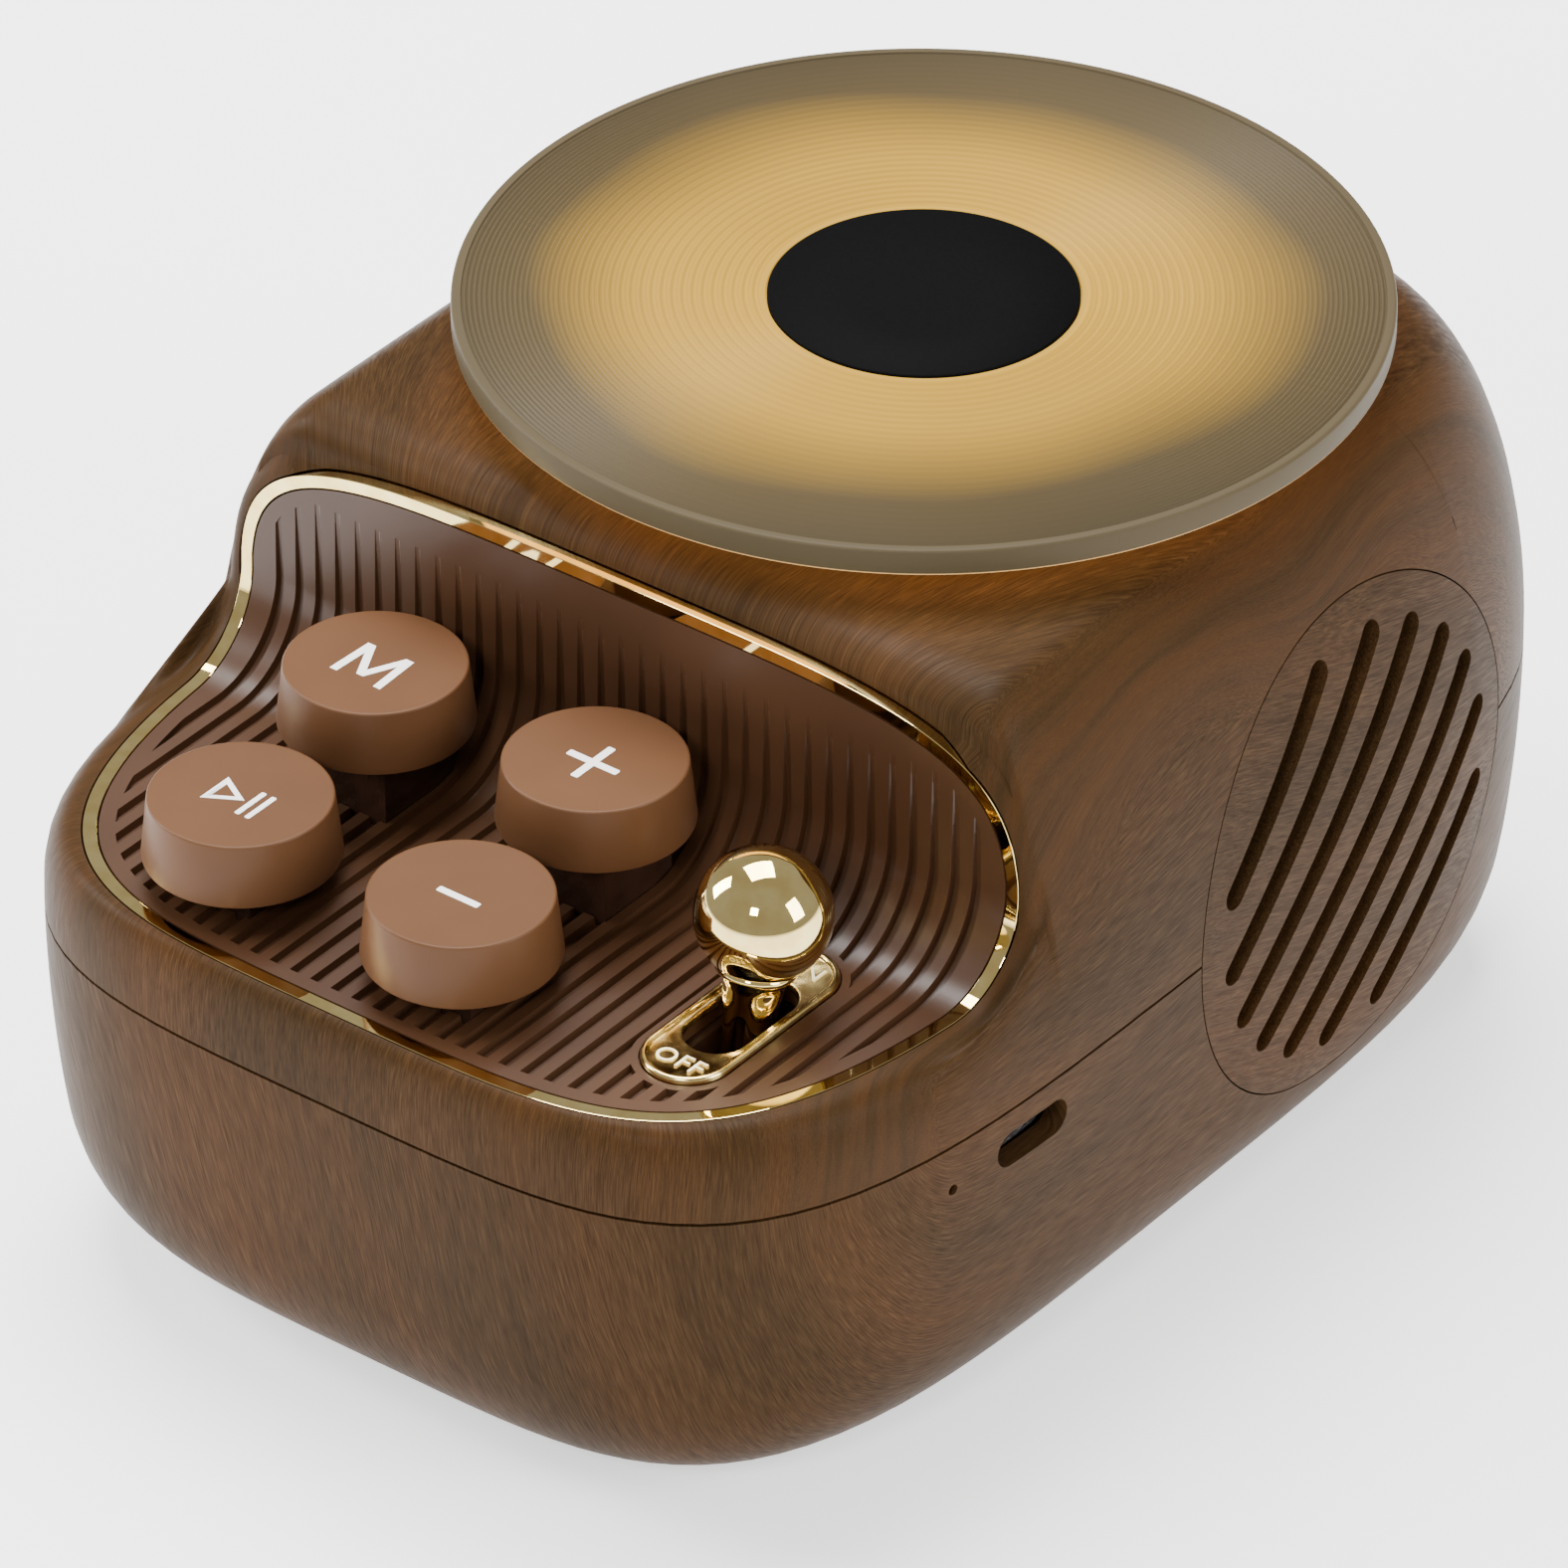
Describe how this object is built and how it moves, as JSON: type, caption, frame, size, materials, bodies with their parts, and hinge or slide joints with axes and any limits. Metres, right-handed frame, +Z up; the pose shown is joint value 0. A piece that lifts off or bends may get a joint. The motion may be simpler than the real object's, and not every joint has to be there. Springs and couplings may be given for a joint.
{
  "type": "table-top wireless speaker with a record lamp",
  "caption": "Rounded wood-look table speaker with a sunken deck of round keys, a ball toggle, a glowing turning record disc on top and slanted round side grilles",
  "frame": {"origin": "on the table plane under the centre of the body, at the bottom of the four feet", "axes": "+Z up; front with the control deck towards -Y; charging socket and main driver towards +X; the record disc turns about a line parallel to Z"},
  "size_m": [0.098, 0.1366, 0.0769],
  "materials": {
    "shell": "walnut-look film over moulded plastic, satin",
    "deck": "glossy reddish brown moulding",
    "trim": "polished gold plating",
    "keycap": "satin caramel moulding",
    "tower": "dark brown moulding",
    "spring": "drawn spring wire",
    "disc": "frosted amber acrylic, lit from below",
    "label": "matte black disc label",
    "hub": "white moulded plastic",
    "steel": "plated and machined steel",
    "board": "green circuit board laminate",
    "rubber": "moulded black rubber",
    "cone": "pressed dark cone",
    "cell": "heat-shrunk sleeve"
  },
  "bodies": {
    "body": {"battery_cell": "cell", "case_screw_0": "steel", "case_screw_1": "steel", "case_screw_2": "steel", "case_screw_3": "steel", "charge_board": "board", "control_deck": "deck", "driver_basket": "steel", "driver_cone": "cone", "driver_magnet": "steel", "driver_surround": "rubber", "foot_0": "rubber", "foot_1": "rubber", "foot_2": "rubber", "foot_3": "rubber", "grille_left": "shell", "grille_right": "shell", "key_board": "board", "lamp_diffuser": "disc", "lamp_tray": "hub", "led_board": "board", "lower_shell": "shell", "main_board": "board", "mic_capsule": "steel", "motor_body": "steel", "radiator_frame": "steel", "radiator_mass": "cone", "radiator_surround": "rubber", "spring_minus": "spring", "spring_mode": "spring", "spring_play": "spring", "spring_plus": "spring", "toggle_pin": "steel", "toggle_plate": "trim", "toggle_switch": "tower", "tower_minus": "tower", "tower_mode": "tower", "tower_play": "tower", "tower_plus": "tower", "trim_ring": "trim", "upper_shell": "shell", "usb_socket": "steel"},
    "disc": {"record_disc": "disc", "disc_label": "label", "disc_hub": "hub", "motor_shaft": "steel"},
    "toggle": {"toggle_lever": "trim"},
    "key_mode": {"keycap_mode": "keycap", "stem_mode": "tower"},
    "key_play": {"keycap_play": "keycap", "stem_play": "tower"},
    "key_plus": {"keycap_plus": "keycap", "stem_plus": "tower"},
    "key_minus": {"keycap_minus": "keycap", "stem_minus": "tower"}
  },
  "joints": [
    {"name": "disc_spin", "type": "hinge", "parent": "body", "child": "disc", "pos_m": [0, 0.0191, 0.07], "axis": [0, 0, 1], "continuous": true},
    {"name": "key_mode_press", "type": "slide", "parent": "body", "child": "key_mode", "axis": [0, 0, -1], "range_m": [0, 0.002], "stiffness_N_per_m": 200, "springref_m": -0.0015, "deforming": ["spring_mode"]},
    {"name": "key_play_press", "type": "slide", "parent": "body", "child": "key_play", "axis": [0, 0, -1], "range_m": [0, 0.002], "stiffness_N_per_m": 200, "springref_m": -0.0015, "deforming": ["spring_play"]},
    {"name": "key_plus_press", "type": "slide", "parent": "body", "child": "key_plus", "axis": [0, 0, -1], "range_m": [0, 0.002], "stiffness_N_per_m": 200, "springref_m": -0.0015, "deforming": ["spring_plus"]},
    {"name": "key_minus_press", "type": "slide", "parent": "body", "child": "key_minus", "axis": [0, 0, -1], "range_m": [0, 0.002], "stiffness_N_per_m": 200, "springref_m": -0.0015, "deforming": ["spring_minus"]},
    {"name": "toggle_tilt", "type": "hinge", "parent": "body", "child": "toggle", "pos_m": [0.0285, -0.045, 0.038], "axis": [1, 0, 0], "range_deg": [0, 24]}
  ]
}
